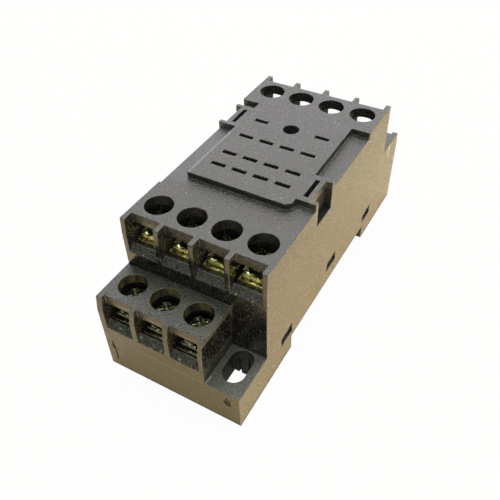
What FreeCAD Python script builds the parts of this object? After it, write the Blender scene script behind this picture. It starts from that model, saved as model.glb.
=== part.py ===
"""Fourteen-blade relay socket with screw terminals, for a 35 mm rail or two screws.

Frame: X across the socket, Y along it, Z up, origin in the middle of the underside.
The near end is -Y. The far end is the near end turned half a turn about Z.
"""

import FreeCAD
import Part
import Sketcher
import math
import os
import re

SIZES = {
    # outside of the moulding
    "body_length": 72.0,
    "body_width": 28.0,
    "deck_level": 28.4,
    "plate_rise": 1.2,
    "lower_level": 18.0,
    "platform_level": 8.0,
    "platform_thick": 2.0,
    "step_long": 9.5,
    "platform_wide": 6.8,
    "front_lean": 0.5,
    "lean_drop": 3.0,
    "side_wall": 1.2,
    "inner_wall": 1.1,
    "deck_thick": 2.0,
    "relief_deep": 0.4,
    "relief_inset": 11.4,
    "far_deck_long": 11.6,
    # raised plate and the lugs of the hold-down clip
    "plate_half": 10.2,
    "plate_front": 11.6,
    "plate_corner": 0.9,
    "lug_offset": 7.3,
    "lug_centre": 1.7,
    "lug_length": 7.5,
    "lug_root": 0.6,
    "clip_gap_long": 5.9,
    "clip_gap_deep": 1.3,
    "clip_gap_tall": 5.4,
    "lug_slot_in": 10.95,
    "lug_slot_wide": 0.85,
    "lug_slot_long": 5.1,
    "clip_slit_tall": 3.0,
    "clip_slit_long": 0.65,
    # rail recess and mounting slots
    "rail_slot": 35.2,
    "rail_offset": 0.7,
    "rail_depth": 3.5,
    "mount_side": 3.6,
    "mount_inset": 5.7,
    "mount_wide": 4.2,
    "mount_long": 7.0,
    "mount_rib": 0.5,
    # terminals
    "pole_pitch": 6.75,
    "pole_wall": 0.9,
    "block_pole_middle": 3.2,
    "access_bore": 5.2,
    "upper_inset": 6.0,
    "lower_inset": 5.5,
    "upper_setback": 2.2,
    "lower_setback": 1.4,
    "recess_drop": 7.2,
    "ledge_rise": 1.2,
    "ledge_run": 1.3,
    "seat_drop": 0.5,
    "recess_back": 3.6,
    "floor_thick": 1.5,
    "shank_room": 4.2,
    # terminal metal
    "strip_thick": 0.8,
    "strip_wide": 2.6,
    "pad_thick": 1.0,
    "pad_wide": 5.3,
    "pad_front": 4.0,
    "tapped_bore": 2.98,
    "clamp_wide": 5.2,
    "clamp_front": 3.4,
    "clamp_rear": 2.5,
    "clamp_thick": 0.8,
    "clamp_bore": 3.3,
    "clamp_ear": 1.0,
    "clamp_ear_thick": 0.7,
    "clamp_notch": 1.0,
    "screw_shank": 2.86,
    "screw_reach": 5.4,
    "head_wide": 4.8,
    "head_tall": 1.7,
    "drive_wide": 0.8,
    "drive_long": 3.3,
    "drive_deep": 0.9,
    # relay blades and the contacts under them
    "column_pitch": 4.33,
    "row_one": -7.1,
    "row_two": -3.15,
    "row_three": 3.05,
    "row_four": 9.1,
    "slot_long": 2.95,
    "slot_wide": 0.95,
    "key_bore": 3.2,
    "key_deep": 9.0,
    "cell_long": 3.3,
    "cell_wide": 2.5,
    "cell_floor": 12.0,
    "upper_strap": 10.2,
    "lower_strap": 7.4,
    "fork_tall": 12.3,
    "fork_half": 0.95,
    "fork_leaf": 0.35,
    "fork_pinch": 0.2,
    # base cover
    "cover_top": 5.8,
    "cover_gap": 0.15,
    "cover_wall": 1.5,
    "window_long": 4.4,
    "window_tall": 2.4,
    "foot_window_level": 4.9,
    "rail_window_level": 6.9,
    "window_inset": 16.7,
    "window_offset": 0.4,
    "snap_play": 0.15,
    "rail_hook": 1.3,
    "rail_hook_low": 0.6,
    "rail_hook_high": 2.0,
    "rail_hook_wide": 7.0,
    # rail latch and its spring
    "latch_wide": 8.0,
    "latch_wing": 1.0,
    "latch_low": 0.3,
    "latch_floor": 0.4,
    "latch_step": 1.2,
    "latch_top": 3.0,
    "latch_nose": 1.4,
    "latch_play": 0.12,
    "latch_bay_inset": 15.0,
    "latch_bay_wide": 3.0,
    "spring_long": 8.0,
    "spring_wide": 2.4,
    "spring_tall": 1.8,
    "spring_strip": 0.4,
    "spring_post": 1.5,
    "pull_slot_wide": 3.4,
    "pull_slot_long": 1.2,
}

DERIVED = {
    "half_length": "(body_length / 2)",
    "half_width": "(body_width / 2)",
    "plate_top": "(deck_level + plate_rise)",
    "tier_front": "(half_length - step_long)",
    "block_side": "(half_width - platform_wide)",
    "relief_end": "(tier_front - relief_inset)",
    "far_deck_start": "(tier_front - far_deck_long)",
    "inside_x": "(half_width - side_wall)",
    "inside_y": "(half_length - side_wall)",
    "inside_tier": "(tier_front - side_wall)",
    "inside_block": "(block_side - inner_wall)",
    "mount_x": "(half_width - mount_side)",
    "mount_y": "(half_length - mount_inset)",
    "rail_near": "(rail_offset - rail_slot / 2)",
    "rail_far": "(rail_offset + rail_slot / 2)",
    "upper_line": "(tier_front - upper_inset)",
    "lower_line": "(half_length - lower_inset)",
    "upper_seat": "(deck_level - recess_drop + ledge_rise - seat_drop)",
    "lower_seat": "(lower_level - recess_drop + ledge_rise - seat_drop)",
    "recess_wide": "(pole_pitch - pole_wall)",
    "window_reach": "(half_length - window_inset)",
    "latch_bay_start": "(half_length - latch_bay_inset)",
}
ALONG_Y = FreeCAD.Rotation(0.5, 0.5, 0.5, 0.5)
UPRIGHT = FreeCAD.Rotation(FreeCAD.Vector(1, 0, 0), 90)
HALF_TURN = FreeCAD.Rotation(FreeCAD.Vector(0, 0, 1), 180)

doc = FreeCAD.newDocument("relay_socket")
sheet = doc.addObject("Spreadsheet::Sheet", "sizes")
for line, (alias, number) in enumerate(SIZES.items(), start=1):
    sheet.set(f"A{line}", alias.replace("_", " "))
    sheet.set(f"B{line}", str(number))
    sheet.setAlias(f"B{line}", alias)
doc.recompute()


def formula(text):
    """Spells out derived sizes in an expression and points each size at its cell of the sheet."""
    def spell(word):
        name = word[0]
        if name in DERIVED:
            return formula(DERIVED[name])
        return "sizes." + name if name in SIZES else name

    return re.sub(r"[a-z_]+", spell, str(text))


def bind(thing, **properties):
    """Binds properties to expressions; a double underscore stands for a dot."""
    for name, text in properties.items():
        thing.setExpression(name.replace("__", "."), formula(text))


def place(thing, x="0", y="0", z="0"):
    bind(thing, Placement__Base__x=x, Placement__Base__y=y, Placement__Base__z=z)
    return thing


def block(name, x, y, z):
    """A box between two limits on each axis, in either order."""
    solid = doc.addObject("Part::Box", name)
    for side, (a, b) in (("Length", x), ("Width", y), ("Height", z)):
        solid.setExpression(side, formula(f"abs(({b}) - ({a}))"))
    lows = [f"min({a}; {b})" for a, b in (x, y, z)]
    return place(solid, *lows)


def rod(name, diameter, x, y, z):
    solid = doc.addObject("Part::Cylinder", name)
    bind(solid, Radius=f"({diameter}) / 2", Height=f"abs(({z[1]}) - ({z[0]}))")
    return place(solid, x, y, f"min({z[0]}; {z[1]})")


def sketch(name, points, turn=None):
    """A closed outline through points, each coordinate an expression."""
    drawing = doc.addObject("Sketcher::SketchObject", name)
    count = len(points)
    for i in range(count):
        a, b = (2 * math.pi * k / count for k in (i, i + 1))
        ends = [FreeCAD.Vector(math.cos(angle), math.sin(angle), 0) for angle in (a, b)]
        drawing.addGeometry(Part.LineSegment(*ends), False)
    for i in range(count):
        drawing.addConstraint(Sketcher.Constraint("Coincident", i, 2, (i + 1) % count, 1))
    for i, (across, up) in enumerate(points):
        for kind, text in (("DistanceX", across), ("DistanceY", up)):
            number = drawing.addConstraint(Sketcher.Constraint(kind, -1, 1, i, 1, 0.1))
            drawing.setExpression(f"Constraints[{number}]", formula(text))
    if turn is not None:
        drawing.Placement = FreeCAD.Placement(FreeCAD.Vector(), turn)
    return drawing


def extrude(name, drawing, direction, length):
    solid = doc.addObject("Part::Extrusion", name)
    solid.Base = drawing
    solid.DirMode = "Custom"
    solid.Dir = FreeCAD.Vector(*direction)
    solid.Solid = True
    bind(solid, LengthFwd=length)
    return solid


def side_profile(name, points, x):
    """An outline in Y and Z, drawn out across the socket between two places on X."""
    drawing = sketch(name + "_outline", points, ALONG_Y)
    place(drawing, x=f"min({x[0]}; {x[1]})")
    return extrude(name, drawing, (1, 0, 0), f"abs(({x[1]}) - ({x[0]}))")


def end_profile(name, points, y):
    """An outline in X and Z, drawn out along the socket between two places on Y."""
    drawing = sketch(name + "_outline", points, UPRIGHT)
    place(drawing, y=f"min({y[0]}; {y[1]})")
    return extrude(name, drawing, (0, 1, 0), f"abs(({y[1]}) - ({y[0]}))")


def plan_profile(name, points, z):
    """An outline in X and Y, drawn up between two levels."""
    drawing = sketch(name + "_outline", points)
    place(drawing, z=f"min({z[0]}; {z[1]})")
    return extrude(name, drawing, (0, 0, 1), f"abs(({z[1]}) - ({z[0]}))")


def fuse(name, pieces):
    solid = doc.addObject("Part::MultiFuse", name)
    solid.Shapes = pieces
    solid.Refine = True
    return solid


def cut(name, base, pieces):
    solid = doc.addObject("Part::Cut", name)
    solid.Base = base
    solid.Tool = fuse(name + "_cutters", pieces) if len(pieces) > 1 else pieces[0]
    solid.Refine = True
    return solid


def half_turned(name, thing):
    """A copy of a piece of the near end, turned half a turn for the far end."""
    copy = doc.addObject("Part::Compound", name)
    copy.Links = [thing]
    copy.Placement = FreeCAD.Placement(FreeCAD.Vector(), HALF_TURN)
    return copy


def slotted(name, width, length, x, y, z):
    """A slot with round ends, long in Y."""
    reach = f"(({length}) - ({width})) / 2"
    return fuse(name, [
        block(name + "_middle", (f"{x} - ({width}) / 2", f"{x} + ({width}) / 2"),
              (f"{y} - {reach}", f"{y} + {reach}"), z),
        rod(name + "_near_end", width, x, f"{y} - {reach}", z),
        rod(name + "_far_end", width, x, f"{y} + {reach}", z),
    ])


UPPER_POLES = [f"(pole_pitch * {step})" for step in (-1.5, -0.5, 0.5, 1.5)]
LOWER_POLES = [f"(pole_pitch * {step} - block_pole_middle)" for step in (-1, 0, 1)]
COLUMNS = [f"(column_pitch * {step})" for step in (-1.5, -0.5, 0.5, 1.5)]
# each relay blade's place: row, column
BLADES = [("row_one", column) for column in COLUMNS]
BLADES += [("row_two", column) for column in COLUMNS]
BLADES += [("row_three", column) for column in COLUMNS]
BLADES += [("row_four", COLUMNS[0]), ("row_four", COLUMNS[3])]


def terminal_recess(name, x, line, level, front, setback, deck):
    """The open cell of one terminal: sloping ledge, seat, and the space under the deck."""
    seat = f"({level} - recess_drop + ledge_rise - seat_drop)"
    ledge = f"({level} - recess_drop)"
    ceiling = f"({deck} - deck_thick)"
    over = f"({deck} + 1)"
    lean = f"(-({front}) - 1)"
    sill = f"(-({front}) + ledge_run)"
    lintel = f"(-({front}) + {setback})"
    back = f"(-({line}) + recess_back)"
    points = [(lean, ledge), (f"-({front})", ledge), (sill, f"{ledge} + ledge_rise"), (sill, seat),
              (back, seat), (back, ceiling), (lintel, ceiling), (lintel, over), (lean, over)]
    half = "recess_wide / 2"
    return side_profile(name, points, (f"{x} - {half}", f"{x} + {half}"))


def pole_cutters(tier, poles, line, level, front, setback, deck):
    """Recess, driver hole and floor opening of each terminal in one near tier."""
    seat = f"({level} - recess_drop + ledge_rise - seat_drop)"
    y = f"-({line})"
    cutters = []
    for number, x in enumerate(poles, start=1):
        name = f"{tier}_pole_{number}"
        cutters.append(terminal_recess(f"{name}_recess", x, line, level, front, setback, deck))
        cutters.append(rod(f"{name}_access", "access_bore", x, y, (seat, f"{deck} + 1")))
        cutters.append(block(f"{name}_floor_opening", (f"{x} - shank_room / 2", f"{x} + shank_room / 2"),
                             (f"{y} - shank_room / 2", f"{y} + recess_back"),
                             (f"{seat} - floor_thick - 1", f"{seat} + 0.1")))
    return cutters


def outer_solid():
    """The stepped block with the near and far corners cut down to their platforms."""
    leaning = "(lower_level - lean_drop)"
    top_leaning = "(deck_level - lean_drop)"
    lean_front = "(half_length - front_lean)"
    lean_tier = "(tier_front - front_lean / 2)"
    points = [
        ("-half_length", "0"), ("rail_near", "0"), ("rail_near", "rail_depth"),
        ("rail_far", "rail_depth"), ("rail_far", "0"), ("half_length", "0"),
        ("half_length", leaning), (lean_front, "lower_level"), ("tier_front", "lower_level"),
        ("tier_front", top_leaning), (lean_tier, "plate_top"), ("far_deck_start", "plate_top"),
        ("far_deck_start", "deck_level"), (f"-{lean_tier}", "deck_level"),
        ("-tier_front", top_leaning), ("-tier_front", "lower_level"),
        (f"-{lean_front}", "lower_level"), ("-half_length", leaning),
    ]
    stepped = side_profile("stepped_block", points, ("-half_width", "half_width"))
    corner = block("platform_corner", ("block_side", "half_width + 1"),
                   ("-half_length - 1", "-tier_front"), ("platform_level", "lower_level + 1"))
    relief = block("side_relief", ("-half_width - 1", "-half_width + relief_deep"),
                   ("-relief_end", "relief_end"), ("-1", "plate_top + 1"))
    return cut("outer_block", stepped, [corner, half_turned("far_platform_corner", corner), relief])


def raised_plate():
    """The plate over the relay's blades, with the two lugs of the hold-down clip."""
    corner = "plate_corner"
    points = [("-plate_half", "-plate_front"), (f"plate_half - {corner}", "-plate_front"),
              ("plate_half", f"-plate_front + {corner}"), ("plate_half", "far_deck_start + 0.5"),
              ("-plate_half", "far_deck_start + 0.5")]
    plate = plan_profile("plate", points, ("deck_level - 0.5", "plate_top"))
    lugs = []
    for side, sign in (("right", "-1"), ("left", "1")):
        middle = f"(lug_centre + ({sign}) * lug_offset)"
        lugs.append(block(f"{side}_lug", (f"-({sign}) * (plate_half - 1)", f"-({sign}) * half_width"),
                          (f"{middle} - lug_length / 2", f"{middle} + lug_length / 2"),
                          ("deck_level - lug_root", "plate_top")))
    return [plate] + lugs


def clip_cutters():
    """The side pockets and the slots that take the hold-down clip on each side."""
    cutters = []
    for side, sign in (("right", "-1"), ("left", "1")):
        middle = f"(lug_centre + ({sign}) * lug_offset)"
        outside = f"-({sign}) * (half_width + 1)"
        cutters.append(block(f"{side}_clip_pocket", (f"-({sign}) * (half_width - clip_gap_deep)", outside),
                             (f"{middle} - clip_gap_long / 2", f"{middle} + clip_gap_long / 2"),
                             ("plate_top - clip_gap_tall", "plate_top + 1")))
        slot_x = (f"-({sign}) * lug_slot_in", f"-({sign}) * (lug_slot_in + lug_slot_wide)")
        slot_end = f"({middle} + ({sign}) * lug_slot_long / 2)"
        cutters.append(block(f"{side}_lug_slot", slot_x, (slot_end, f"{middle} - ({sign}) * lug_slot_long / 2"),
                             ("plate_top - clip_gap_tall", "plate_top + 1")))
        slit_low = "plate_top - clip_gap_tall + 0.7"
        cutters.append(block(f"{side}_clip_slit", (slot_x[0], outside),
                             (slot_end, f"{slot_end} - ({sign}) * clip_slit_long"),
                             (slit_low, f"{slit_low} + clip_slit_tall")))
    return cutters


def z_outline(reach_x, reach_y, step_x, step_y):
    """A rectangle without its near right and far left corners."""
    return [(f"-({reach_x})", f"-({reach_y})"), (step_x, f"-({reach_y})"), (step_x, f"-({step_y})"),
            (reach_x, f"-({step_y})"), (reach_x, reach_y), (f"-({step_x})", reach_y),
            (f"-({step_x})", step_y), (f"-({reach_x})", step_y)]


def inside_cutters():
    """The space for the base cover and the straps, open below, with the contact cells over it."""
    tier_floor = "(upper_seat - floor_thick)"
    block_floor = "(lower_seat - floor_thick)"
    outline = z_outline("inside_x", "inside_y", "inside_block", "inside_tier")
    cutters = [
        plan_profile("cover_space", outline, ("-1", "cover_top + 0.2")),
        block("strap_space", ("-inside_x", "inside_x"), ("-inside_tier", "inside_tier"),
              ("cover_top", "cell_floor")),
        block("near_upper_space", ("-inside_x", "inside_x"),
              ("-inside_tier", "-upper_line + recess_back + 2"), ("cell_floor - 1", tier_floor)),
        block("far_upper_space", ("-inside_x", "inside_x"),
              ("upper_line - recess_back - 2", "inside_tier"), ("cell_floor - 1", tier_floor)),
    ]
    near_block = block("near_block_space", ("-inside_x", "inside_block"), ("-inside_y", "-inside_tier + 0.5"),
                       ("cover_top", block_floor))
    cutters += [near_block, half_turned("far_block_space", near_block)]
    for number, (row, column) in enumerate(BLADES, start=1):
        cutters.append(block(f"cell_{number}", (f"{column} - cell_long / 2", f"{column} + cell_long / 2"),
                             (f"{row} - cell_wide / 2", f"{row} + cell_wide / 2"),
                             ("cell_floor - 1", "plate_top - deck_thick")))
        cutters.append(block(f"blade_slot_{number}", (f"{column} - slot_long / 2", f"{column} + slot_long / 2"),
                             (f"{row} - slot_wide / 2", f"{row} + slot_wide / 2"),
                             ("plate_top - deck_thick - 1", "plate_top + 1")))
    cutters.append(rod("key_hole", "key_bore", "0", "row_four", ("plate_top - key_deep", "plate_top + 1")))
    return cutters


def mount_cutters():
    """One round-ended slot through each platform, and the ribbed pocket under it."""
    slot = slotted("near_mount_slot", "mount_wide", "mount_long", "mount_x", "(-mount_y)",
                   ("platform_level - platform_thick - 1", "platform_level + 1"))
    pocket = block("near_mount_pocket", ("block_side", "inside_x"), ("-inside_y", "-tier_front"),
                   ("-1", "platform_level - platform_thick"))
    ribs = [block(f"near_mount_groove_{side}",
                  (f"mount_x - 1 + {shift} - mount_rib / 2", f"mount_x - 1 + {shift} + mount_rib / 2"),
                  ("-tier_front - 0.1", "-tier_front + mount_rib"),
                  ("-1", "platform_level - platform_thick")) for side, shift in (("left", "-1"), ("right", "1"))]
    near = [slot, pocket] + ribs
    return near + [half_turned("far_" + piece.Name[5:], piece) for piece in near]


def windows():
    """Middles, low edges and directions of the snap windows in the two side walls."""
    places = []
    for side, sign in (("right", "1"), ("left", "-1")):
        for step in ("-1", "0", "1"):
            low = "rail_window_level" if step == "0" else "foot_window_level"
            places.append((side, sign, step, f"(window_offset + ({step}) * window_reach)", low))
    return places


def window_cutters():
    cutters = []
    for number, (side, sign, step, y, low) in enumerate(windows(), start=1):
        cutters.append(block(f"snap_window_{number}", (f"({sign}) * (inside_x - 0.5)", f"({sign}) * (half_width + 1)"),
                             (f"{y} - window_long / 2", f"{y} + window_long / 2"), (low, f"{low} + window_tall")))
    return cutters


def upper_housing():
    """The one-piece moulding: tiers, plate, terminal cells, contact cells and walls."""
    solid = fuse("housing_solid", [outer_solid()] + raised_plate())
    upper = pole_cutters("upper", UPPER_POLES, "upper_line", "deck_level", "tier_front", "upper_setback",
                         "deck_level")
    lower = pole_cutters("lower", LOWER_POLES, "lower_line", "lower_level", "half_length", "lower_setback",
                         "lower_level")
    raised = pole_cutters("raised", UPPER_POLES, "upper_line", "deck_level", "tier_front", "upper_setback",
                          "plate_top")
    far = [half_turned("far_" + piece.Name, piece) for piece in raised + lower]
    tail = block("latch_door", ("-(latch_wide / 2 + latch_wing + 0.3)", "latch_wide / 2 + latch_wing + 0.3"),
                 ("inside_y - 0.5", "half_length + 1"), ("-1", "latch_top + 0.3"))
    cutters = upper + lower + far + clip_cutters() + inside_cutters() + mount_cutters() + window_cutters()
    return cut("upper_housing", solid, cutters + [tail])


def base_cover():
    """The snap-in floor: two trays for feet, the rail recess between them, hook and latch bay."""
    outline = z_outline("inside_x - cover_gap", "inside_y - cover_gap", "inside_block - cover_gap",
                        "inside_tier - cover_gap")
    floor = plan_profile("cover_solid", outline, ("0", "cover_top"))
    recess = block("cover_rail_recess", ("-half_width", "half_width"), ("rail_near", "rail_far"), ("-1", "rail_depth"))
    tray_x = "(inside_block - cover_gap - cover_wall)"
    near_tray = block("near_tray", ("-inside_x + cover_wall + cover_gap", tray_x),
                      ("-inside_y + cover_wall + cover_gap", "rail_near - cover_wall"),
                      ("cover_wall", "cover_top + 1"))
    low_side = "(latch_wide / 2 + latch_play)"
    high_side = "(latch_wide / 2 + latch_wing + latch_play)"
    bay = [
        block("latch_bay_low", (f"-{low_side}", low_side), ("rail_far - 1", "half_length + 1"), ("-1", "latch_step")),
        block("latch_bay_high", (f"-{high_side}", high_side), ("rail_far - 1", "half_length + 1"),
              ("latch_step - latch_play", "latch_top + latch_play")),
    ]
    hollowed = cut("cover_floor", floor, [recess, near_tray] + bay)
    hook_points = [("rail_near - 0.5", "rail_hook_low"), ("rail_near + rail_hook", "rail_hook_high - 0.5"),
                   ("rail_near + rail_hook", "rail_hook_high"), ("rail_near - 0.5", "rail_hook_high")]
    pieces = [hollowed]
    for side, sign in (("left", "-1"), ("right", "1")):
        pieces.append(side_profile(f"rail_hook_{side}", hook_points,
                                   (f"({sign}) * 2.5", f"({sign}) * (2.5 + rail_hook_wide)")))
    post_side = "(latch_bay_wide / 2 - latch_play - 0.1)"
    post_near = "(latch_bay_start + spring_long)"
    pieces.append(block("spring_post", (f"-{post_side}", post_side), (post_near, f"{post_near} + spring_post"),
                        ("latch_low + latch_floor + latch_play", "latch_top + 1")))
    for number, (side, sign, step, y, low) in enumerate(windows(), start=1):
        inner = f"({sign}) * (inside_x - cover_gap - cover_wall)"
        outer = f"({sign}) * (inside_x - cover_gap)"
        catch = f"({sign}) * (half_width - relief_deep - 0.1)"
        foot = f"{low} + snap_play"
        top = f"{low} + window_tall - snap_play"
        points = [(inner, "cover_top - 0.5"), (outer, "cover_top - 0.5"), (outer, foot), (catch, foot),
                  (catch, f"{foot} + 0.3"), (outer, top), (inner, top)]
        pieces.append(end_profile(f"snap_{number}", points,
                                  (f"{y} - window_long / 2 + snap_play", f"{y} + window_long / 2 - snap_play")))
    return fuse("base_cover", pieces)


def rail_latch():
    """The sliding latch: bevelled nose under the rail's edge, wings in the bay, bay for the spring."""
    nose = "(rail_far - latch_nose)"
    tail = "(half_length - 0.2)"
    low_points = [(f"{nose} + latch_nose", "latch_low"), (nose, "latch_step - 0.2"), (nose, "latch_top - 1.0"),
                  (f"{nose} + 0.3", "latch_top - 0.8"), ("rail_far + 0.2", "latch_top - 0.8"),
                  ("rail_far + 0.2", "latch_top"), (tail, "latch_top"), (tail, "latch_low")]
    body = side_profile("latch_body", low_points, ("-latch_wide / 2", "latch_wide / 2"))
    wings = block("latch_wings", ("-(latch_wide / 2 + latch_wing)", "latch_wide / 2 + latch_wing"),
                  ("rail_far + 0.2", tail), ("latch_step", "latch_top"))
    bay_far = "(latch_bay_start + spring_long + spring_post + latch_play)"
    bay = block("spring_bay", ("-latch_bay_wide / 2", "latch_bay_wide / 2"), ("latch_bay_start", bay_far),
                ("latch_low + latch_floor", "latch_top + 1"))
    pull = block("pull_slot", ("-pull_slot_wide / 2", "pull_slot_wide / 2"),
                 (f"{tail} - pull_slot_long - 1", f"{tail} - 1"), ("latch_low - 1", "latch_top + 1"))
    return cut("rail_latch", fuse("latch_solid", [body, wings]), [bay, pull])


def latch_spring():
    """A folded strip spring in the latch's bay, pushing between the latch and the cover's post."""
    folds = 5
    right, left = [], []
    for fold in range(folds + 1):
        along = f"(latch_bay_start + 0.05 + (spring_long - 0.1) * {fold} / {folds})"
        middle = f"({1 if fold % 2 else -1}) * (spring_wide - spring_strip) / 2"
        right.append((f"{middle} + spring_strip / 2", along))
        left.append((f"{middle} - spring_strip / 2", along))
    return plan_profile("latch_spring", right + left[::-1], ("latch_top - spring_tall", "latch_top"))


def terminal_clamp(name, x, y, seat, turn):
    """The square clamping washer with two raised ears at its front edge."""
    plate = block(f"{name}_plate", ("-clamp_wide / 2", "clamp_wide / 2"), ("-clamp_front", "clamp_rear"),
                  ("0", "clamp_thick"))
    top = "clamp_thick + clamp_ear"
    pieces = [plate]
    for side, sign in (("left", "-1"), ("right", "1")):
        outer, inner = f"({sign}) * clamp_wide / 2", f"({sign}) * clamp_notch / 2"
        points = [(outer, "0"), (outer, f"{top} - 0.45"), (f"{outer} - ({sign}) * 0.45", top),
                  (f"{inner} + ({sign}) * 0.45", top), (inner, f"{top} - 0.45"), (inner, "0")]
        pieces.append(end_profile(f"{name}_{side}_ear", points, ("-clamp_front", "-clamp_front + clamp_ear_thick")))
    blank = fuse(f"{name}_blank", pieces)
    hole = rod(f"{name}_hole", "clamp_bore", "0", "0", ("-1", "clamp_thick + 1"))
    notch = block(f"{name}_notch", ("-clamp_notch / 2", "clamp_notch / 2"), ("-clamp_front - 1", "-clamp_front + 1.2"),
                  ("-1", f"{top} + 1"))
    clamp = cut(name, blank, [hole, notch])
    clamp.Placement = FreeCAD.Placement(FreeCAD.Vector(), turn)
    return place(clamp, x, y, f"{seat} + pad_thick")


def terminal_screw(name, x, y, seat, turn):
    """One turned terminal screw with a flat head and a cross drive."""
    shank = "screw_shank / 2"
    head = "head_wide / 2"
    points = [("0", "-screw_reach"), (shank, "-screw_reach"), (shank, "0"), (head, "0"),
              (head, "head_tall"), ("0", "head_tall")]
    turned = doc.addObject("Part::Revolution", f"{name}_turned")
    turned.Source = sketch(f"{name}_profile", points, UPRIGHT)
    turned.Axis = (0, 0, 1)
    turned.Base = (0, 0, 0)
    turned.Angle = 360
    turned.Solid = True
    deep = ("head_tall - drive_deep", "head_tall + 1")
    long_way = ("-drive_long / 2", "drive_long / 2")
    thin_way = ("-drive_wide / 2", "drive_wide / 2")
    screw = cut(name, turned, [block(f"{name}_drive_1", long_way, thin_way, deep),
                               block(f"{name}_drive_2", thin_way, long_way, deep)])
    screw.Placement = FreeCAD.Placement(FreeCAD.Vector(), turn)
    return place(screw, x, y, f"{seat} + pad_thick + clamp_thick")


def contact(name, x, y, seat, end, strap, row, column, jog):
    """One stamped strip: tapped pad, leg, strap with a sidestep, and the fork under a blade slot."""
    half = "strip_wide / 2"
    inward = f"(-({end}))"
    back = f"({y} + {inward} * (recess_back - 0.15))"
    leg_front = f"({back} - {inward} * strip_thick)"
    pieces = [
        block(f"{name}_pad", (f"{x} - pad_wide / 2", f"{x} + pad_wide / 2"), (f"{y} - {inward} * pad_front", leg_front),
              (seat, f"{seat} + pad_thick")),
        block(f"{name}_leg", (f"{x} - {half}", f"{x} + {half}"), (leg_front, back), (strap, f"{seat} + pad_thick")),
        block(f"{name}_run", (f"{x} - {half}", f"{x} + {half}"), (leg_front, f"{jog} + {inward} * strip_wide"),
              (strap, f"{strap} + strip_thick")),
        block(f"{name}_sidestep", (f"min({x}; {column}) - {half}", f"max({x}; {column}) + {half}"),
              (jog, f"{jog} + {inward} * strip_wide"), (strap, f"{strap} + strip_thick")),
        block(f"{name}_tail", (f"{column} - {half}", f"{column} + {half}"),
              (jog, f"{row} + {inward} * strip_thick / 2"), (strap, f"{strap} + strip_thick")),
    ]
    low = "(cell_floor + 1)"
    top = "(cell_floor + 1 + fork_tall)"
    stem = "strip_thick / 2"
    bow = [(stem, strap), (stem, low), ("fork_half", f"{low} + 0.6"), ("fork_half", f"{top} - 5.5"),
           ("fork_pinch + fork_leaf", f"{top} - 1.3"), ("fork_half - 0.1", top), ("fork_half - 0.1 - fork_leaf", top),
           ("fork_pinch", f"{top} - 1.3"), ("fork_half - fork_leaf", f"{top} - 5.5"),
           ("fork_half - fork_leaf", f"{low} + 1.0")]
    outline = [(f"{row} + {a}", b) for a, b in bow] + [(f"{row} - ({a})", b) for a, b in reversed(bow)]
    pieces.append(side_profile(f"{name}_fork", outline, (f"{column} - {half}", f"{column} + {half}")))
    bore = rod(f"{name}_thread", "tapped_bore", x, y, (f"{seat} - 3", f"{seat} + 3"))
    return cut(name, fuse(f"{name}_strip", pieces), [bore])


def terminals():
    """All fourteen terminals: where each one stands and the relay blade that it serves."""
    rows = []
    for x, column in zip(UPPER_POLES, COLUMNS):
        rows.append((x, "-upper_line", "upper_seat", "-1", "upper_strap", "row_one", column, "(row_one - 5)"))
    for x, column in zip(LOWER_POLES, COLUMNS):
        rows.append((x, "-lower_line", "lower_seat", "-1", "lower_strap", "row_two", column, "(row_two - 9)"))
    for x, column in zip(UPPER_POLES, COLUMNS):
        rows.append((x, "upper_line", "upper_seat", "1", "upper_strap", "row_three", column, "(row_three + 4.6)"))
    turned = [f"(-{x})" for x in reversed(LOWER_POLES)]
    rows.append((turned[0], "lower_line", "lower_seat", "1", "lower_strap", "row_four", COLUMNS[0], "(row_four + 5)"))
    rows.append((turned[1], "lower_line", "lower_seat", "1", "lower_strap", "row_four", COLUMNS[3], "(row_four + 5)"))
    rows.append((turned[2], "lower_line", "lower_seat", "1", "lower_strap", "row_two", COLUMNS[3], "(row_two + 9)"))
    return rows


nodes = [upper_housing(), base_cover(), rail_latch(), latch_spring()]
for count, (x, y, seat, end, strap, row, column, jog) in enumerate(terminals(), start=1):
    turn = FreeCAD.Rotation() if end == "-1" else HALF_TURN
    nodes.append(terminal_clamp(f"clamp_{count:02d}", x, y, seat, turn))
    nodes.append(terminal_screw(f"terminal_screw_{count:02d}", x, y, seat, turn))
    nodes.append(contact(f"contact_{count:02d}", x, y, seat, end, strap, row, column, jog))
doc.recompute()

for thing in doc.Objects:
    if {"Invalid", "Error"} & set(thing.State):
        raise RuntimeError(f"{thing.Name} failed: {thing.State}")
os.makedirs("parts", exist_ok=True)
for node in nodes:
    node.Label = node.Name
    if node.Shape.isNull() or not node.Shape.isValid() or not node.Shape.Solids:
        raise RuntimeError(f"{node.Label} has no sound solid")
    node.Shape.exportStep(f"parts/{node.Label}.step")
    box = node.Shape.BoundBox
    print(f"{node.Label}: {len(node.Shape.Solids)} solid, {node.Shape.Volume:.1f} mm3, "
          f"x {box.XMin:.2f}..{box.XMax:.2f} y {box.YMin:.2f}..{box.YMax:.2f} z {box.ZMin:.2f}..{box.ZMax:.2f}")
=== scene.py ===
"""Relay socket: dark moulded housing, brass terminals and their screws, on a pale floor."""

import math

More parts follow.
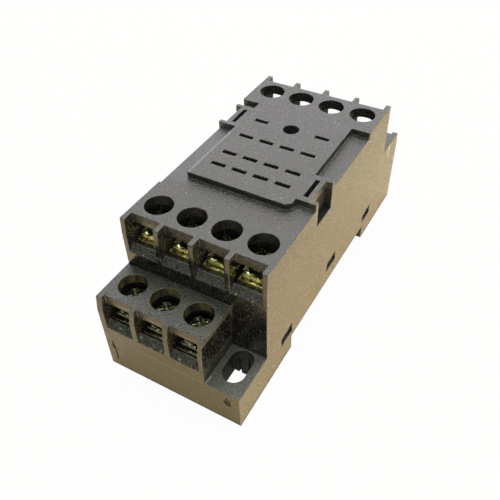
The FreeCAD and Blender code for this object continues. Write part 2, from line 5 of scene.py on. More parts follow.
import bpy
import numpy as np
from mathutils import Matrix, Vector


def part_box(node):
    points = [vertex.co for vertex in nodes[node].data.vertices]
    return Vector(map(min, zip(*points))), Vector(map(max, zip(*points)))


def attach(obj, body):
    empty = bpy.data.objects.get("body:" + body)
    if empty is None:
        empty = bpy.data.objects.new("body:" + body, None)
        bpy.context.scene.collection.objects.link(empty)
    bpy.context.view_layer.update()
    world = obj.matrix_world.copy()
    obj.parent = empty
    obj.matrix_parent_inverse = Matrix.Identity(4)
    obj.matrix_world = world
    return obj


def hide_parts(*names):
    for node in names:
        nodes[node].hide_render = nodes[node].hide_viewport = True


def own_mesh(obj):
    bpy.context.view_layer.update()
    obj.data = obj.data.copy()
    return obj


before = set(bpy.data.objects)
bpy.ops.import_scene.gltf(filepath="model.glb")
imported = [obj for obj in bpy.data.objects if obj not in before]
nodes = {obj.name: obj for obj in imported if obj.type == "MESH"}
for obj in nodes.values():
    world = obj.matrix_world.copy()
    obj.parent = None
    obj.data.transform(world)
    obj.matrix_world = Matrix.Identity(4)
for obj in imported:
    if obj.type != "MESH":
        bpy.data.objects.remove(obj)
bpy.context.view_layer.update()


MM = 0.001
TERMINALS = range(1, 15)


# Shader maths

class Value:
    """One socket of a shader; expressions on it add Math nodes."""

    def __init__(self, paint, socket):
        self.paint, self.socket = paint, socket

    def maths(self, operation, *others):
        return self.paint.add("ShaderNodeMath", "Value", {"operation": operation}, [self, *others])

    def __add__(self, other):
        return self.maths("ADD", other)

    def __sub__(self, other):
        return self.maths("SUBTRACT", other)

    def __rsub__(self, other):
        return self.paint.add("ShaderNodeMath", "Value", {"operation": "SUBTRACT"}, [other, self])

    def __mul__(self, other):
        return self.maths("MULTIPLY", other)

    def __truediv__(self, other):
        return self.maths("DIVIDE", other)

    def __pow__(self, other):
        return self.maths("POWER", other)

    def __abs__(self):
        return self.maths("ABSOLUTE")

    def most(self, other):
        return self.maths("MAXIMUM", other)

    def least(self, other):
        return self.maths("MINIMUM", other)

    def rise(self, start, end):
        """0 below start and 1 above end, with a smooth slope between them; falls where end is lower."""
        if end < start:
            return 1 - self.rise(end, start)
        settings = {"interpolation_type": "SMOOTHSTEP"}
        return self.paint.add("ShaderNodeMapRange", "Result", settings,
                              {"Value": self, "From Min": start, "From Max": end})


class Paint:
    """One material's nodes, with its Principled shader ready."""

    def __init__(self, name):
        self.material = bpy.data.materials.new(name)
        self.material.use_nodes = True
        self.tree = self.material.node_tree
        self.shader = self.tree.nodes["Principled BSDF"]
        self.place = self.add("ShaderNodeTexCoord", "Object")

    def fill(self, node, inputs):
        """Links values to a node's inputs, and sets plain numbers and colours there."""
        pairs = inputs.items() if isinstance(inputs, dict) else enumerate(inputs)
        for key, given in pairs:
            if isinstance(given, Value):
                self.tree.links.new(given.socket, node.inputs[key])
            else:
                node.inputs[key].default_value = given

    def add(self, kind, output, settings=None, inputs=()):
        """The named output of a new node."""
        node = self.tree.nodes.new(kind)
        for name, setting in (settings or {}).items():
            setattr(node, name, setting)
        self.fill(node, inputs)
        return Value(self, node.outputs[output])

    def axes(self, vector=None):
        """The three numbers of a vector, of the place itself if none is given."""
        node = self.tree.nodes.new("ShaderNodeSeparateXYZ")
        self.fill(node, [vector or self.place])
        return [Value(self, socket) for socket in node.outputs]

    def noise(self, grain, detail, rough=0.5, stretch=(1, 1, 1)):
        """Noise from 0 to 1 whose lumps are about grain wide, in metres."""
        place = self.place
        if stretch != (1, 1, 1):
            place = self.add("ShaderNodeVectorMath", "Vector", {"operation": "MULTIPLY"}, [place, stretch])
        return self.add("ShaderNodeTexNoise", "Fac", None,
                        {"Vector": place, "Scale": 1 / grain, "Detail": detail, "Roughness": rough})

    def mix(self, share, first, second):
        """first where share is 0, second where it is 1, both colours."""
        node = self.tree.nodes.new("ShaderNodeMix")
        node.data_type = "RGBA"
        self.fill(node, {0: share, 6: solid(first), 7: solid(second)})
        return Value(self, node.outputs[2])

    def bump(self, height, deep, normal):
        """A surface direction tipped by a height, of which 1 stands for deep metres."""
        return self.add("ShaderNodeBump", "Normal", None,
                        {"Height": height, "Distance": deep, "Strength": 1.0, "Normal": normal})

    def soft_edges(self, radius):
        """The surface direction with its sharp edges rounded."""
        return self.add("ShaderNodeBevel", "Normal", {"samples": 6}, {"Radius": radius})

    def edge(self, rounded):
        """0 on flat places and up to 1 on sharp edges."""
        true = self.add("ShaderNodeNewGeometry", "True Normal")
        dot = self.add("ShaderNodeVectorMath", "Value", {"operation": "DOT_PRODUCT"}, [true, rounded])
        return (1 - dot).rise(0.02, 0.25)

    def finish(self, **sockets):
        """The material, with its shader's named sockets filled."""
        self.fill(self.shader, {name.replace("_", " "): given for name, given in sockets.items()})
        return self.material


def solid(colour):
    """A colour with the alpha that its socket asks for."""
    return colour if isinstance(colour, Value) else (*colour, 1.0)


# Places in a material, with their limits in millimetres

def within(place, low, high, soft=0.1):
    """1 where a number lies between two limits, with soft sides."""
    inside = place.rise((low - soft) * MM, (low + soft) * MM)
    return inside * place.rise((high + soft) * MM, (high - soft) * MM)


def zone(places, limits):
    """1 inside the limits of every place they name: low, high and, where it isn't 0.1, how soft they are."""
    inside = None
    for name, limit in limits.items():
        part = within(places[name], *limit)
        inside = part if inside is None else inside * part
    return inside


def patch(paint, box, soft):
    """1 inside a box of limits along X, Y and Z, with wavering soft sides."""
    wave = (paint.noise(0.8 * MM, 2) - 0.5) * (1.2 * MM)
    inside = None
    for axis, (low, high) in zip(paint.axes(), box):
        middle, half = (low + high) / 2 * MM, (high - low) / 2 * MM
        near = (abs(axis - middle) + wave).rise(half + soft * MM, half - soft * MM)
        inside = near if inside is None else inside * near
    return inside


def stroke(paint, across, up, points, wide):
    """1 along a line of places on two axes: the distance to the nearest of its runs is small, and wavers."""
    soft, waver = 0.07, 0.16
    nearest = None
    for (x0, z0), (x1, z1) in zip(points, points[1:]):
        run, climb = x1 - x0, z1 - z0
        right, above = across - x0 * MM, up - z0 * MM
        share = ((right * run + above * climb) / ((run * run + climb * climb) * MM)).most(0).least(1)
        away = ((right - share * (run * MM)) ** 2 + (above - share * (climb * MM)) ** 2) ** 0.5
        nearest = away if nearest is None else nearest.least(away)
    wave = (paint.noise(0.4 * MM, 1) - 0.5) * (waver * MM)
    return (nearest + wave).rise((wide + soft) * MM, (wide - soft) * MM)


# Zones of the housing

UPPER_CELLS = {"out": (19, 26.2), "up": (21.6, 27.4)}
LOWER_CELLS = {"out": (27, 35.7), "up": (11.2, 16.9)}
CELL_ROWS = {"side": (-1, 13.2)}
FAR_WALLS = {"along": (21.6, 27.6), "up": (21.6, 27.8), "side": (-1, 13.2)}
STEP_WALLS = {"out": (26.0, 26.7), "side": (-1, 13.95), "up": (7.9, 27.9)}
BLOCK_SIDES = {"side": (7.0, 7.6)}
LUG_GAP = {"across": (12.5, 13.9), "along": (-9.2, -2.5), "up": (24.1, 28.2)}
PLATFORMS = {"up": (7.8, 8.1), "out": (26.6, 36.1)}
SIDE_STRIPS = {"up": (27.9, 28.1), "side": (10.3, 14.1)}
# A painted bluish sheen lies on the strip left of the plate.
COOL_SHEEN_STRIP = {"across": (-14.2, -9.9, 0.4), "along": (-13, 7, 1.5), "up": (27.9, 29.8)}
# A painted highlight runs along the plate's left top edge.
PLATE_EDGE_HIGHLIGHT = {"across": (-10.2, -9.85), "along": (-11.5, 3.2, 0.5), "up": (29.4, 29.8)}
DUSTY_ENDS, DUSTY_SIDES = (26.0, 36), (7.1, 7.3)
LEDGE_LINES, LEDGE_LEVELS = ((26.0, 27.0), (34.6, 36.1)), ((21.0, 22.5), (10.6, 12.1))
# A painted brownish reflection lies on the deck in front of the plate's near edge.
DECK_REFLECTION_BAND = ((2, 13), (-17.5, -12.5), (28.0, 28.6))
RUBBED_LUG = ((12.4, 14.2), (-9.6, -6.4), (26.2, 29.7))
PLATFORM_SCRATCH = [(7.35, -35.8), (7.5, -34.2)]

NEAR_FACE = -36
NEAR_DENTS = [(0.4, [(11.2, 5.5), (11.5, 5.0)]), (0.34, [(-12.4, 6.1), (-12.4, 5.3)])]
NEAR_CUTS = [(0.17, [(11.4, 6.6), (11.95, 5.85), (12.0, 4.8)]),
             (0.17, [(-12.35, 7.1), (-12.4, 5.6), (-12.1, 4.6), (-12.25, 2.2)])]

FIRST_LOW_POLE, POLE_PITCH, LOW_LINE = -9.95, 6.75, 30.5
BORE_WALL, BORE_FOOT, BORE_RIM, BLOCK_END = (2.45, 2.75), (13.5, 17), (17.95, 17.85), (6.4, 6.2)


def low_bores(across, along, up):
    """1 on the upper walls of the low screwdriver holes; the far row is the near one turned half round."""
    turned = across * along.maths("SIGN") * -1
    steps = (turned - FIRST_LOW_POLE * MM) / (POLE_PITCH * MM)
    beside = (steps - steps.maths("ROUND")) * (POLE_PITCH * MM)
    from_axis = (beside ** 2 + (abs(along) - LOW_LINE * MM) ** 2) ** 0.5
    lit = up.rise(BORE_FOOT[0] * MM, BORE_FOOT[1] * MM) * up.rise(BORE_RIM[0] * MM, BORE_RIM[1] * MM)
    lit = lit * turned.rise(BLOCK_END[0] * MM, BLOCK_END[1] * MM)
    return within(from_axis, *BORE_WALL) * lit


def near_marks(paint, across, along, up):
    """1 in the dents and cuts in the near face."""
    marks = None
    for wide, points in NEAR_DENTS + NEAR_CUTS:
        mark = stroke(paint, across, up, points, wide)
        marks = mark if marks is None else marks.most(mark)
    return marks * along.rise((NEAR_FACE + 0.2) * MM, (NEAR_FACE + 0.1) * MM)


def worn_and_lit_tops(paint, places, colour, tilt, slope, platform):
    """Sanded slopes, strips and platforms; painted light: a bluish sheen on a strip, a highlight on the
    plate's left edge, a brown reflection on the deck.
    """
    sand = paint.noise(0.4 * MM, 1).rise(0.40, 0.62)
    relief = zone(places, SIDE_STRIPS) * tilt.rise(0.85, 0.95)
    colour = paint.mix((slope * 0.4).most(relief * 0.9) * sand, colour, (0.19, 0.18, 0.18))
    colour = paint.mix(platform * (sand * 0.35 + 0.3), colour, (0.27, 0.265, 0.265))
    # Painted sheen: the strip left of the plate is lightened and made bluish.
    colour = paint.mix(zone(places, COOL_SHEEN_STRIP) * 0.5, colour, (0.105, 0.105, 0.135))
    colour = paint.mix(zone(places, PLATE_EDGE_HIGHLIGHT) * 0.5, colour, (0.42, 0.42, 0.46))
    # Painted highlight, above: a light line along the plate's left top edge.
    return paint.mix(patch(paint, DECK_REFLECTION_BAND, 1.5) * 0.5, colour, (0.088, 0.068, 0.056))


def dust_scuffs_and_glow(paint, places, colour, step, platform, bores):
    """Dust on dark walls, a scratched platform, scuffed ledges, a painted brass glow in the low holes, a lug
    lightened by rubbing.
    """
    across, along, up, out = places["across"], places["along"], places["up"], places["out"]
    dust = paint.noise(0.4 * MM, 0).rise(0.66, 0.72) * within(out, *DUSTY_ENDS)
    dust = dust * within(places["side"], *DUSTY_SIDES).most(step * 0.5)
    far_end = along.rise(-1 * MM, 1 * MM)
    colour = paint.mix(dust * (0.7 - far_end * 0.45), colour, (0.24, 0.30, 0.32))
    scratch = stroke(paint, across, along, PLATFORM_SCRATCH, 0.09) * platform
    lines = within(out, *LEDGE_LINES[0]).most(within(out, *LEDGE_LINES[1]))
    levels = within(up, *LEDGE_LEVELS[0]).most(within(up, *LEDGE_LEVELS[1]))
    ledges = lines * paint.noise(0.9 * MM, 2).rise(0.62, 0.70) * levels
    colour = paint.mix(scratch.most(ledges * 0.42), colour, (0.75, 0.75, 0.75))
    # Painted glow: olive streaks on the upper walls of the low holes stand for light thrown there by the
    # brass screws.
    glow_streaks = paint.noise(1.1 * MM, 2, 0.5, (1, 1, 0.3)).rise(0.34, 0.66)
    colour = paint.mix(bores * glow_streaks, colour, (0.25, 0.225, 0.09))
    return paint.mix(patch(paint, RUBBED_LUG, 0.4) * 0.3, colour, (0.30, 0.22, 0.18))


def housing_details(paint, colour, roughness, height):
    """What only the housing has: smooth cells and walls painted dark as shade, sanded tops with painted
    light, dust, scuffs, a painted glow, shaded near cuts.
    """
    across, along, up = paint.axes()
    side, out = abs(across), abs(along)
    places = {"across": across, "along": along, "up": up, "side": side, "out": out}
    tilt = paint.axes(paint.add("ShaderNodeNewGeometry", "True Normal"))[2]
    slope = tilt.rise(0.58, 0.62) * tilt.rise(0.87, 0.83)
    platform, lug, far_walls = zone(places, PLATFORMS), zone(places, LUG_GAP), zone(places, FAR_WALLS)
    step = zone(places, STEP_WALLS) * (1 - slope)
    cells = zone(places, UPPER_CELLS).most(zone(places, LOWER_CELLS)) * zone(places, CELL_ROWS)
    cells = cells * (1 - far_walls) * (1 - slope)
    block_side = cells * zone(places, BLOCK_SIDES)
    bores = low_bores(across, along, up)
    # The dents and cuts in the near face get a bump and roughness, and are also painted near black as painted
    # shade inside them.
    gouge_and_shade = near_marks(paint, across, along, up)
    colour = worn_and_lit_tops(paint, places, colour, tilt, slope, platform)
    # Painted shade: the step walls, the lug gap, the cells, the block sides in the cells and the far walls
    # are painted near black, and so are the dents and cuts in the near face.
    shaded = (step * 0.9).most(lug * 0.95).most(cells * 0.1).most(block_side * 0.8).most(far_walls * 0.9)
    colour = paint.mix(shaded.most(gouge_and_shade * 0.97), colour, (0.006, 0.006, 0.006))
    colour = dust_scuffs_and_glow(paint, places, colour, step, platform, bores)
    smooth = (cells * 0.6).most(block_side).most(step).most(bores)
    roughness = roughness * (1 - smooth * 0.62) + gouge_and_shade * 0.6 + platform * 0.1 + lug.most(far_walls) * 0.5
    return colour, roughness, height * (1 - smooth * 0.8) - gouge_and_shade * 8


# Materials

def moulded_plastic(name, dark, light, edge_light_and_wear, rough, details=None):
    """Spark-textured plastic: two grains, faint clouds, handled places, edges lightened by rubbing and as
    painted highlights, specks of dust.
    """
    paint = Paint(name)
    clouds = paint.noise(9 * MM, 3)
    grain = paint.noise(0.42 * MM, 1)
    fine = paint.noise(0.28 * MM, 1)
    share = (clouds - 0.5) * 0.4 + (grain - 0.5) * 2.0 + (fine - 0.5) * 2.2 + 0.5
    colour = paint.mix(share.rise(0.0, 1.0), dark, light)
    handled = paint.noise(5 * MM, 2).rise(0.42, 0.62)
    colour = paint.mix(handled * 0.4, colour, (0.066, 0.048, 0.050))
    rounded = paint.soft_edges(0.26 * MM)
    # The edges are lightened, partly as wear by rubbing and partly as painted highlights.
    rubbed_and_lit_edges = paint.edge(rounded) * paint.noise(1.6 * MM, 3).rise(0.30, 0.55)
    dots = paint.noise(0.36 * MM, 0).rise(0.58, 0.72) * 0.12
    specks = paint.noise(0.45 * MM, 0).rise(0.75, 0.80) * paint.noise(4 * MM, 1).rise(0.46, 0.60)
    colour = paint.mix((rubbed_and_lit_edges * 0.9 + specks * 0.6 + dots).least(1), colour, edge_light_and_wear)
    height = (grain - 0.5) * 0.7 + (fine - 0.5) * 0.8
    roughness = (grain + fine - 1) * 0.5 + rough - rubbed_and_lit_edges * 0.1
    if details:
        colour, roughness, height = details(paint, colour, roughness, height)
    return paint.finish(Base_Color=colour, Roughness=roughness, Specular_IOR_Level=1.0,
                        Normal=paint.bump(height, 0.12 * MM, rounded))


def plated_metal(name, bright, dull, stain, rough, low=0.0, high=0.0, lines=0.0, painted_glints=False):
    """Brass or plating: tarnish, stains, small dents, rounded edges and, where given, rolling lines.

    low and high are how far the metal of the lower and of the upper terminals is darkened, painted shade for
    metal that sits deep in hollows, lines how far apart the rolling lines are; where glints are asked for,
    bright spots are painted on the lower metal as glints.
    """
    paint = Paint(name)
    up = paint.axes()[2]
    tarnish = paint.noise(1.1 * MM, 3).rise(0.40, 0.62)
    stains = paint.noise(0.7 * MM, 2).rise(0.56, 0.68)
    scuffs = paint.noise(0.25 * MM, 2, 0.6, (1, 1, 6))
    colour = paint.mix((tarnish * 0.9 + (scuffs - 0.5) * 0.3).least(1), bright, dull)
    colour = paint.mix(stains * 0.6, colour, stain)
    # Painted shade: the lower terminals' metal, and the upper screws' metal deep in their holes, is darkened
    # by height.
    low_tier = up.rise(17.5 * MM, 17 * MM)
    colour = paint.mix(low_tier * low, colour, (0.11, 0.115, 0.09))
    colour = paint.mix((1 - low_tier) * high, colour, [0.2 * part for part in dull])
    # Painted glints: bright spots on the lower screws.
    if painted_glints:
        glint_spots = paint.noise(0.5 * MM, 1).rise(0.56, 0.72) * low_tier * 0.7
        colour = paint.mix(glint_spots, colour, bright)
    height = (scuffs - 0.5) * 0.5 + paint.noise(0.8 * MM, 1) * 1.6
    if lines:
        height = height + (up * (math.tau / lines)).maths("SINE") * 0.7
    normal = paint.bump(height, 0.06 * MM, paint.soft_edges(0.12 * MM))
    return paint.finish(Base_Color=colour, Metallic=1.0, Roughness=tarnish * 0.16 + rough, Normal=normal)


HOUSING = moulded_plastic("graphite_housing_plastic", dark=(0.020, 0.020, 0.021), light=(0.068, 0.067, 0.070),
                          edge_light_and_wear=(0.42, 0.415, 0.41), rough=0.40, details=housing_details)
COVER = moulded_plastic("graphite_cover_plastic", dark=(0.028, 0.028, 0.028), light=(0.078, 0.077, 0.077),
                        edge_light_and_wear=(0.30, 0.295, 0.29), rough=0.44)
LATCH = moulded_plastic("dark_latch_plastic", dark=(0.020, 0.020, 0.021), light=(0.056, 0.055, 0.056),
                        edge_light_and_wear=(0.25, 0.25, 0.25), rough=0.36)
BRASS = plated_metal("contact_brass", bright=(0.80, 0.70, 0.34), dull=(0.31, 0.30, 0.13),
                     stain=(0.12, 0.12, 0.06), rough=0.14, low=0.94, lines=0.42 * MM)
CLAMP = plated_metal("clamp_brass", bright=(0.88, 0.80, 0.40), dull=(0.38, 0.43, 0.17),
                     stain=(0.66, 0.33, 0.16), rough=0.14, low=0.94)
SCREW = plated_metal("screw_plating", bright=(0.95, 0.88, 0.62), dull=(0.26, 0.24, 0.13),
                     stain=(0.12, 0.11, 0.06), rough=0.08, low=0.8, high=0.92, painted_glints=True)
SPRING = plated_metal("spring_steel", bright=(0.62, 0.62, 0.60), dull=(0.42, 0.41, 0.39),
                      stain=(0.30, 0.29, 0.27), rough=0.2)


# Skins

SHARP = math.radians(40)


def squareness(turn, power):
    """How far a rounded square reaches, in radii of its inner circle; a higher power tightens its corners."""
    return (np.abs(np.cos(turn)) ** power + np.abs(np.sin(turn)) ** power) ** (-1 / power)


def grid_faces(rows, columns):
    """Quads of a grid that closes on itself along its columns; each row follows the one before."""
    row, column = np.meshgrid(np.arange(rows - 1), np.arange(columns), indexing="ij")
    after = (column + 1) % columns
    this, above = row * columns, (row + 1) * columns
    return np.stack([this + column, this + after, above + after, above + column], -1).reshape(-1, 4)


def capped_tube(points):
    """Vertices and faces of a closed skin: rings of points end to end, each end closed by its middle."""
    rings, around = points.shape[:2]
    faces = grid_faces(rings, around).tolist()
    vertices = np.concatenate([points.reshape(-1, 3), points[:1].mean(1), points[-1:].mean(1)])
    near, far, last = rings * around, rings * around + 1, (rings - 1) * around
    for column in range(around):
        after = (column + 1) % around
        faces.append([near, after, column])
        faces.append([far, last + column, last + after])
    return vertices, faces


def ring_skin(points):
    """Vertices and faces of a ring: its cross-section closes on itself, and so does the way around."""
    sections, around = points.shape[:2]
    faces = grid_faces(sections + 1, around) % (sections * around)
    return points.reshape(-1, 3), faces.tolist()


def shell(name, skins, material):
    """One mesh object from several closed skins."""
    vertices, faces, first = [], [], 0
    for skin_vertices, skin_faces in skins:
        vertices.append(skin_vertices)
        faces += [[corner + first for corner in face] for face in skin_faces]
        first += len(skin_vertices)
    mesh = bpy.data.meshes.new(name)
    mesh.from_pydata(np.concatenate(vertices).tolist(), [], faces)
    mesh.update()
    piece = bpy.data.objects.new(name, mesh)
    bpy.context.scene.collection.objects.link(piece)
    mesh.materials.append(material)
    mesh.polygons.foreach_set("use_smooth", [True] * len(mesh.polygons))
    mesh.set_sharp_from_angle(angle=SHARP)
    return piece


# Terminals

SHANK, THREAD_PITCH, THREAD_DEEP, TIP = 1.43 * MM, 0.5 * MM, 0.22 * MM, 0.7 * MM
HEAD_TALL, HEAD_CROWN, HEAD_FOOT = 1.7 * MM, 0.35 * MM, 0.15 * MM
CROSS_HALF, CROSS_REACH, SLOT_HALF, SLOT_SHARE = 0.36 * MM, 1.55 * MM, 0.42 * MM, 0.55
RECESS_DEEP, RECESS_WALL = 0.85 * MM, 0.12 * MM
CLAMP_THICK, CLAMP_HOLE = 0.8 * MM, 1.65 * MM
EAR_APART, EAR_INSET, EAR_WIDE, EAR_THICK = 1.65 * MM, 0.55 * MM, 1.7 * MM, 1.1 * MM
EAR_ROOT, EAR_BELOW_TOP, EAR_STRAIGHT = 0.02 * MM, 0.8 * MM, 0.55


def screw_skin(middle, low, seat, top, head):
    """A terminal screw: its thread's radius waves with height and turn, and a cross is sunk in its head."""
    steps, around = 6, 40
    turn = np.linspace(0, math.tau, around, endpoint=False)
    height = np.arange(low, seat, THREAD_PITCH / steps)
    taper = np.clip((height - low) / TIP, 0.35, 1)[:, None]
    wave = np.abs(((height[:, None] / THREAD_PITCH + turn / math.tau) % 1) - 0.5) * 2
    radius = (SHANK - THREAD_DEEP * wave) * taper
    level = np.broadcast_to(height[:, None], radius.shape)
    thread = np.stack([radius * np.cos(turn), radius * np.sin(turn), level], -1)
    rim = np.linspace(-math.pi / 2, math.pi / 2, 9)[:, None]
    foot, crown = HEAD_FOOT * (1 + np.sin(rim)), HEAD_CROWN * (1 - np.sin(rim))
    side_height = np.where(rim < 0, seat + foot, top - crown)
    side_radius = head - np.where(rim < 0, HEAD_FOOT, HEAD_CROWN) * (1 - np.cos(rim))
    side = np.stack([side_radius * np.cos(turn), side_radius * np.sin(turn), side_height + 0 * turn], -1)
    inward = np.linspace(1, 0.02, 34)[:, None] * (head - HEAD_CROWN)
    x, y = inward * np.cos(turn + math.pi / 4), inward * np.sin(turn + math.pi / 4)

    def inside(distance, edge):
        """1 where a distance is below an edge and 0 beyond it, across the recess's sloping wall."""
        return np.clip((edge + RECESS_WALL / 2 - distance) / RECESS_WALL, 0, 1)

    arms = inside(np.minimum(np.abs(x), np.abs(y)), CROSS_HALF)
    cross = arms * inside(np.maximum(np.abs(x), np.abs(y)), CROSS_REACH)
    slot = inside(np.abs(y), SLOT_HALF) * SLOT_SHARE
    sink = np.maximum(cross, slot) * RECESS_DEEP
    face = np.stack([inward * np.cos(turn), inward * np.sin(turn), top - sink], -1)
    return capped_tube(np.concatenate([thread, side, face]) + np.array([middle[0], middle[1], 0]))


def plate_skin(middle, wide, near, far, low):
    """A square washer: rings blend from the round hole to a rounded rectangle, on a rounded cross-section."""
    turn = np.linspace(0, math.tau, 64, endpoint=False)
    square = squareness(turn, 9)
    half_long, shift = (far - near) / 2, (far + near) / 2
    outer = np.stack([square * np.cos(turn) * wide / 2, square * np.sin(turn) * half_long + shift], -1)
    inner = np.stack([np.cos(turn), np.sin(turn)], -1) * CLAMP_HOLE
    outward = np.array([0, 0.5, 0.95, 1, 1, 0.95, 0.5, 0.0])
    upward = np.array([0, 0, 0, 0.2, 0.8, 1, 1, 1.0])
    flat = inner + (outer - inner) * outward[:, None, None]
    height = low + CLAMP_THICK * upward
    points = np.concatenate([flat, np.broadcast_to(height[:, None, None], (*flat.shape[:2], 1))], -1)
    return ring_skin(points + np.array([middle[0], middle[1], 0]))


def ear_skin(middle, x, y, low, high):
    """A pressed-up ear: an upright tab of rounded section that closes in a half-round top."""
    turn = np.linspace(0, math.tau, 32, endpoint=False)
    square = squareness(turn, 2.8)
    curved = EAR_STRAIGHT + (1 - EAR_STRAIGHT) * np.sin(np.linspace(0.15, math.pi / 2, 10))
    rise = np.concatenate([np.linspace(0, EAR_STRAIGHT, 5), curved])[:, None]
    over = np.clip((rise - EAR_STRAIGHT) / (1 - EAR_STRAIGHT), 0, 1)
    share = np.sqrt(np.clip(1 - over ** 2.6, 0.0004, 1))
    points = np.stack([x + square * np.cos(turn) * share * EAR_WIDE / 2,
                       y + square * np.sin(turn) * (0.25 + 0.75 * share) * EAR_THICK / 2,
                       low + (high - low) * rise + 0 * turn], -1)
    return capped_tube(points + np.array([middle[0], middle[1], 0]))


def dress_terminal(number):
    """A threaded screw and a pressed clamp in place of the plain ones."""
    low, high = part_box(f"terminal_screw_{number:02d}")
    middle = ((low.x + high.x) / 2, (low.y + high.y) / 2)
    skin = screw_skin(middle, low.z, high.z - HEAD_TALL, high.z, (high.x - low.x) / 2)
    screw = shell(f"threaded_screw_{number:02d}", [skin], SCREW)
    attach(screw, f"terminal_screw_{number:02d}_body")
    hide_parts(f"terminal_screw_{number:02d}")
    low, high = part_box(f"clamp_{number:02d}")
    near, far = low.y - middle[1], high.y - middle[1]
    ear_line = near + EAR_INSET if middle[1] < 0 else far - EAR_INSET
    skins = [plate_skin(middle, high.x - low.x, near, far, low.z)]
    for side in (-1, 1):
        skins.append(ear_skin(middle, side * EAR_APART, ear_line, low.z + EAR_ROOT, high.z - EAR_BELOW_TOP))
    clamp = shell(f"pressed_clamp_{number:02d}", skins, CLAMP)
    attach(clamp, f"clamp_{number:02d}_body")
    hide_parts(f"clamp_{number:02d}")


for number in TERMINALS:
    dress_terminal(number)


# Latch spring

def folded_spring():
    """The latch's strip spring: a rounded strip on a path that swings from side to side as a cosine does."""
    low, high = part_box("latch_spring")
    strip, folds = 0.4 * MM, 5
    share = np.linspace(0, 1, 121)
    swing = (high.x - low.x - strip) / 2
    path = np.stack([-swing * np.cos(folds * math.pi * share), low.y + (high.y - low.y) * share], -1)
    run = np.gradient(path, axis=0)
    sideways = np.stack([-run[:, 1], run[:, 0]], -1) / np.linalg.norm(run, axis=1)[:, None]
    turn = np.linspace(0, math.tau, 16, endpoint=False)
    square = squareness(turn, 6)
    off = square * np.cos(turn) * strip / 2
    rise = (low.z + high.z) / 2 + square * np.sin(turn) * (high.z - low.z) / 2 + 0 * share[:, None]
    points = np.dstack([path[:, :1] + sideways[:, :1] * off, path[:, 1:] + sideways[:, 1:] * off, rise])
    spring = shell("folded_spring", [capped_tube(points)], SPRING)
    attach(spring, "socket")
    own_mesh(spring)
    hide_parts("latch_spring")


folded_spring()


# Materials of the pieces that keep their solids

FINISHES = {"upper_housing": HOUSING, "base_cover": COVER, "rail_latch": LATCH}
FINISHES.update({f"contact_{number:02d}": BRASS for number in TERMINALS})
for name, material in FINISHES.items():
    nodes[name].data.materials.clear()
    nodes[name].data.materials.append(material)


# Camera, floor and light, with places and sizes in millimetres and turns in degrees

MIDDLE = (0, 0, 20)


def camera_at(place, turns, lens):
    """The camera, as fitted to the corners of the object in the photograph."""
    data = bpy.data.cameras.new("camera")
    data.sensor_width = 36
    data.lens = lens
    data.clip_start = 0.005
    camera = bpy.data.objects.new("camera", data)
    camera.location = [number * MM for number in place]
    camera.rotation_euler = [math.radians(turn) for turn in turns]
    bpy.context.scene.collection.objects.link(camera)
    bpy.context.scene.camera = camera


def panel(name, place, aim, size, power, colour):
    """A soft rectangular lamp that the camera doesn't see."""
    data = bpy.data.lights.new(name, "AREA")
    data.shape = "RECTANGLE"
    data.size, data.size_y = size[0] * MM, size[1] * MM
    data.energy = power
    data.color = colour
    lamp = bpy.data.objects.new(name, data)
    lamp.location = [number * MM for number in place]
    line = np.array(place, float) - np.array(aim, float)
    flat = math.hypot(line[0], line[1])
    turned = math.atan2(line[1], line[0]) + math.pi / 2 if flat else 0
    lamp.rotation_euler = (math.atan2(flat, line[2]), 0, turned)
    lamp.visible_camera = False
    bpy.context.scene.collection.objects.link(lamp)


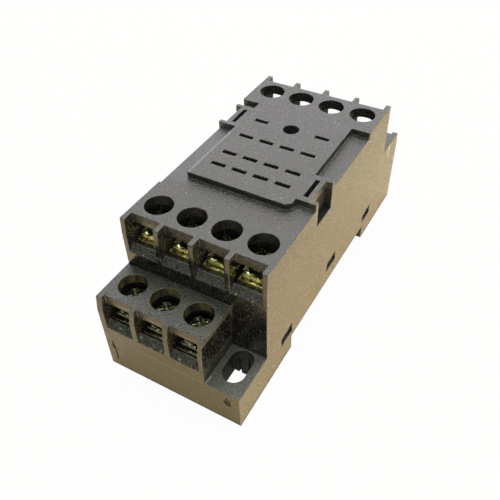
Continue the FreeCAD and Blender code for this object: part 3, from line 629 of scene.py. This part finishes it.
def pale_floor():
    """A matt floor that looks white to the camera and still takes a faint shadow; reflections see it lit."""
    to_camera, to_mirrors = 0.97, 0.08
    paint = Paint("pale_floor")
    path = paint.tree.nodes.new("ShaderNodeLightPath")
    seen = Value(paint, path.outputs["Is Camera Ray"]).most(Value(paint, path.outputs["Is Transmission Ray"]))
    mirrored = Value(paint, path.outputs["Is Glossy Ray"])
    clouds = paint.noise(0.09, 2)
    paint.finish(Base_Color=paint.mix(clouds, (0.93, 0.86, 0.72), (0.95, 0.88, 0.75)), Roughness=0.9)
    glow = paint.add("ShaderNodeEmission", "Emission", None, {"Color": (1, 1, 1, 1), "Strength": 1.0})
    lit = Value(paint, paint.shader.outputs[0])
    look = paint.add("ShaderNodeMixShader", "Shader", None,
                     [(seen * to_camera).most(mirrored * to_mirrors), lit, glow])
    output = next(node for node in paint.tree.nodes if node.type == "OUTPUT_MATERIAL")
    paint.tree.links.new(look.socket, output.inputs["Surface"])
    mesh = bpy.data.meshes.new("floor")
    reach, level = 1.5, -0.00005
    rim = [(-reach, -reach, level), (reach, -reach, level), (reach, reach, level), (-reach, reach, level)]
    mesh.from_pydata(rim, [], [(0, 1, 2, 3)])
    floor = bpy.data.objects.new("floor", mesh)
    mesh.materials.append(paint.material)
    bpy.context.scene.collection.objects.link(floor)


def plain_world(strength, colour):
    """Even light from all sides, which the camera sees as white."""
    world = bpy.data.worlds.new("world")
    bpy.context.scene.world = world
    world.use_nodes = True
    tree = world.node_tree
    even = tree.nodes["Background"]
    even.inputs["Color"].default_value = (*colour, 1)
    even.inputs["Strength"].default_value = strength
    white = tree.nodes.new("ShaderNodeBackground")
    white.inputs["Color"].default_value = (1, 1, 1, 1)
    path = tree.nodes.new("ShaderNodeLightPath")
    pick = tree.nodes.new("ShaderNodeMixShader")
    tree.links.new(path.outputs["Is Camera Ray"], pick.inputs[0])
    tree.links.new(even.outputs[0], pick.inputs[1])
    tree.links.new(white.outputs[0], pick.inputs[2])
    tree.links.new(pick.outputs[0], tree.nodes["World Output"].inputs["Surface"])


camera_at(place=(42.497, -79.395, 91.855), turns=(46.067, 1.153, 29.545), lens=42.355)
plain_world(strength=0.06, colour=(0.80, 0.90, 1.0))
pale_floor()
panel("window_light", place=(-120, 420, 340), aim=MIDDLE, size=(1000, 700), power=3.8,
      colour=(1.0, 0.97, 0.99))
panel("ceiling_light", place=(0, 0, 500), aim=MIDDLE, size=(500, 500), power=1.45, colour=(0.86, 0.94, 0.70))
panel("near_lamp", place=(160, -320, 300), aim=MIDDLE, size=(40, 40), power=0.14, colour=(1.0, 0.98, 0.94))
panel("paper_right", place=(62, 12, 0.02), aim=(62, 12, 500), size=(95.8, 136), power=0.051,
      colour=(1.0, 0.70, 0.31))
panel("paper_front", place=(-12, -67, 0.02), aim=(-12, -67, 500), size=(76, 61.8), power=0.0082,
      colour=(1.0, 0.64, 0.15))
bpy.context.scene.view_settings.view_transform = "Standard"

bpy.context.view_layer.update()
